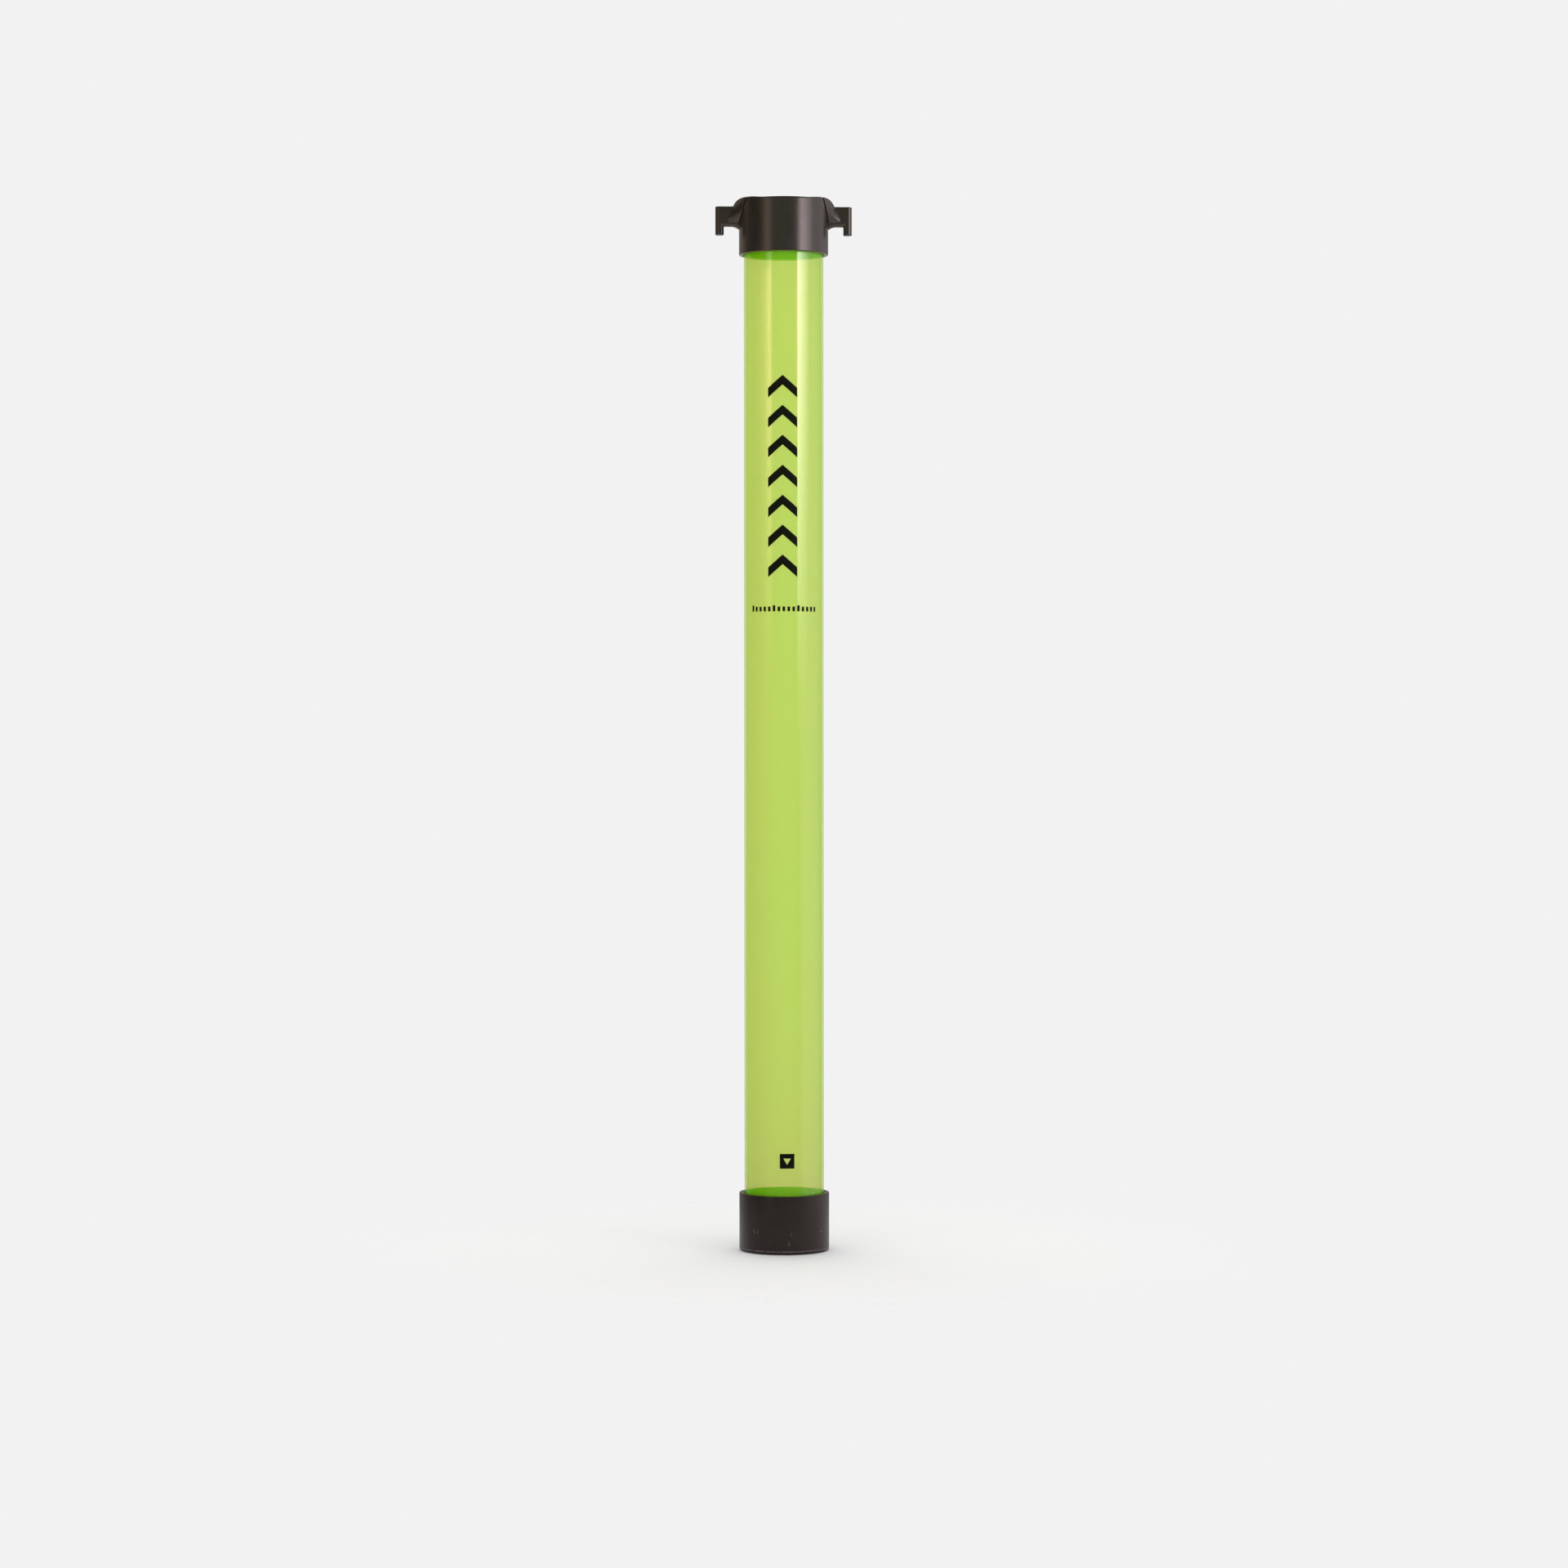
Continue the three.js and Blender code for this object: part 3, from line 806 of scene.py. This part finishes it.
def makePrints():
    size = printedMarks
    prints = []
    space = size["arrowTop"] - size["arrowBottom"] - size["arrowRise"] - size["arrowStroke"]
    for number in range(size["arrowCount"]):
        bottom = size["arrowBottom"] + space * number / (size["arrowCount"] - 1)
        prints.append(inkPiece(f"printArrow{number + 1}", arrowPatches(bottom)))
    for number in range(size["tickCount"]):
        prints.append(inkPiece(f"printTick{number + 1}", tickPatches(number)))
    prints.append(inkPiece("printSquare", squarePatches()))
    ink = printInk()
    for piece in prints:
        piece.data.materials.append(ink)
        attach(piece, "tube_body")


makePrints()
print("prints made")


# Floor and background

studio = {
    "floor": (0.885, 0.885, 0.89), "floorHalf": 3000, "floorCuts": 8,
    "fadeFrom": 0.18, "fadeTo": 0.48,            # metres from the axis over which the floor fades out
    "background": 0.888,
    "worldLight": 1.39, "sideLight": 0.42,       # dimmer from the sides than from the front and the back
    "low": 1.35, "rise": 0.7,                    # and dimmer from above than from near the horizon
    # what the plastics mirror: strengths, and the two values of a direction between which each comes in
    "front": 0.21, "back": 0.42, "frontToBack": (-0.6, 0.5),
    "leftDim": 0.85, "leftBetween": (-0.98, -0.8),
    "right": 0.72, "rightBetween": (0.6, 0.9), "rightDim": 0.4, "rightDimBetween": (-0.1, 0.6),
    "backWall": 0.85, "backWallBetween": (0.955, 0.985),
    "ceiling": 0.15, "ceilingBetween": (0.45, 0.8),
    "below": 0.75, "belowBetween": (-0.5, -0.2),
    "leftTint": (1.0, 0.84, 0.68), "rightTint": (1.0, 0.93, 0.93), "tintBetween": (-0.9, 0.5),
    "frontTint": (1.0, 1.12, 0.78), "frontTintBetween": (-0.98, -0.6),
}


def makeFloor():
    # pale only round the foot and from above; elsewhere the background is seen through it
    half = studio["floorHalf"]
    shape = bmesh.new()
    corners = [(-half, -half, 0), (half, -half, 0), (half, half, 0), (-half, half, 0)]
    shape.faces.new([shape.verts.new(corner) for corner in corners])
    bmesh.ops.subdivide_edges(shape, edges=shape.edges[:], cuts=studio["floorCuts"], use_grid_fill=True)
    floor = newPiece("floor", shape)
    material = bpy.data.materials.new("paleFloor")
    nodes = Nodes(material)
    where = nodes.node("ShaderNodeTexCoord", output="Object")
    away = nodes.node("ShaderNodeVectorMath", {"operation": "LENGTH"}, {0: where}, output="Value")
    under = nodes.node("ShaderNodeNewGeometry", output="Backfacing")
    pale = nodes.node("ShaderNodeBsdfDiffuse", {}, {"Color": shade(*studio["floor"])})
    clear = nodes.node("ShaderNodeBsdfTransparent")
    gone = away.between(studio["fadeFrom"], studio["fadeTo"]).atLeast(under)
    nodes.finish("ShaderNodeOutputMaterial", nodes.mixShader(gone, pale, clear))
    floor.data.materials.append(material)


def makeWorld():
    # light for the dull surfaces, and beside it a backdrop that is seen and mirrored
    world = bpy.data.worlds.new("studio")
    bpy.context.scene.world = world
    nodes = Nodes(world)
    seen = nodes.node("ShaderNodeLightPath", output="Is Camera Ray")
    glossy = nodes.node("ShaderNodeLightPath", output="Is Glossy Ray")
    through = nodes.node("ShaderNodeLightPath", output="Is Transmission Ray")
    direction = nodes.node("ShaderNodeTexCoord", output="Generated")
    x, y, z = [nodes.axis(direction, letter) for letter in "XYZ"]
    falling = studio["low"] - studio["rise"] * z.atLeast(0)
    light = nodes.node("ShaderNodeBackground", {}, {
        "Color": shade(1, 1, 1),
        "Strength": studio["worldLight"] * (studio["sideLight"] + y * y) * falling})
    mirrored = blend(studio["front"], studio["back"], y.between(*studio["frontToBack"]))
    mirrored = mirrored * (1 - studio["leftDim"] * (1 - x.between(*studio["leftBetween"])))
    rightFalls = 1 - studio["rightDim"] * y.between(*studio["rightDimBetween"])
    mirrored = mirrored + studio["right"] * x.between(*studio["rightBetween"]) * rightFalls
    mirrored = blend(mirrored, studio["backWall"], y.between(*studio["backWallBetween"]))
    mirrored = blend(mirrored, studio["ceiling"], z.between(*studio["ceilingBetween"]))
    mirrored = blend(mirrored, studio["below"], 1 - z.between(*studio["belowBetween"]))
    tint = nodes.mixColor(
        x.between(*studio["tintBetween"]), shade(*studio["leftTint"]), shade(*studio["rightTint"]))
    tint = nodes.mixColor(y.between(*studio["frontTintBetween"]), shade(*studio["frontTint"]), tint)
    backdrop = nodes.node("ShaderNodeBackground", {}, {
        "Color": nodes.mixColor(glossy, shade(1, 1, 1), tint),
        "Strength": blend(studio["background"], mirrored, glossy)})
    shown = seen.atLeast(glossy.atLeast(through))
    nodes.finish("ShaderNodeOutputWorld", nodes.mixShader(shown, light, backdrop))


softBoxes = {
    "distance": 1500,                         # from the tube's axis
    "fillGap": 20,                            # the copy for dull surfaces stands this much farther off
    "low": 450, "high": 1330,                 # the heights of a box's edges
    "brightFrom": 0.78, "brightTo": 0.86,     # shares of its height between which it is brightest
    # angle round the tube from the camera's side, width, brightness, share of its light that falls on dull
    # surfaces, share of its width over which it brightens from its inner edge, how fast it then fades
    "rightBox": {"angle": 61.2, "width": 1220, "bright": 10.5, "spill": 0.40, "edge": 0.07, "fade": 1.4,
                 "color": (1.0, 0.87, 0.92)},
    "leftBox": {"angle": -43, "width": 700, "bright": 3.4, "spill": 0.7, "edge": 0.45, "fade": 1.0,
                "color": (1.0, 0.82, 0.62)},
    "topBox": {"width": 1800, "behind": 800, "height": 2400, "bright": 1.0},
}


def areaLamp(name, width, height, bright):
    data = bpy.data.lights.new(name, "AREA")
    data.shape = "RECTANGLE"
    data.size = width * mm
    data.size_y = height * mm
    data.energy = bright * math.pi * data.size * data.size_y
    lamp = bpy.data.objects.new(name, data)
    lamp.visible_camera = False
    bpy.context.scene.collection.objects.link(lamp)
    return lamp


def softBox(name, share, seenIn):
    # bright along the upright edge nearer the camera, fading outward and at its lower and upper edges
    look = softBoxes[name]
    low, high = softBoxes["low"], softBoxes["high"]
    lamp = areaLamp(name + ("Fill" if seenIn == "dull" else "Gleam"), look["width"], high - low,
                    look["bright"] * share)
    lamp.data.color = look["color"]
    nodes = Nodes(lamp.data)
    where = nodes.node("ShaderNodeNewGeometry", output="Parametric")
    across = nodes.axis(where, "X")
    upward = nodes.axis(where, "Y")
    outward = across if look["angle"] > 0 else 1 - across
    glow = (1 - outward) ** look["fade"] * outward.between(0, look["edge"])
    glow = glow * upward.between(0, softBoxes["brightFrom"])
    glow = glow * (1 - upward.between(softBoxes["brightTo"], 1))
    nodes.finish("ShaderNodeOutputLight", nodes.node("ShaderNodeEmission", {}, {"Strength": glow}))
    angle = math.radians(view["turn"] + look["angle"])
    outwards = Vector((math.sin(angle), -math.cos(angle), 0))
    distance = softBoxes["distance"] + (softBoxes["fillGap"] if seenIn == "dull" else 0)
    lamp.location = outwards * distance * mm + Vector((0, 0, (low + high) / 2 * mm))
    lamp.rotation_euler = outwards.to_track_quat("Z", "Y").to_euler()
    lamp.visible_diffuse = seenIn == "dull"
    lamp.visible_glossy = seenIn == "glossy"


def topBox():
    look = softBoxes["topBox"]
    lamp = areaLamp("topBox", look["width"], look["width"], look["bright"])
    lamp.location = (0, look["behind"] * mm, look["height"] * mm)
    lamp.visible_glossy = False


makeFloor()
makeWorld()
for boxName in ("rightBox", "leftBox"):
    softBox(boxName, softBoxes[boxName]["spill"], "dull")
    softBox(boxName, 1, "glossy")
topBox()
bpy.context.scene.view_settings.view_transform = "Standard"
print("floor, background and lamps made")
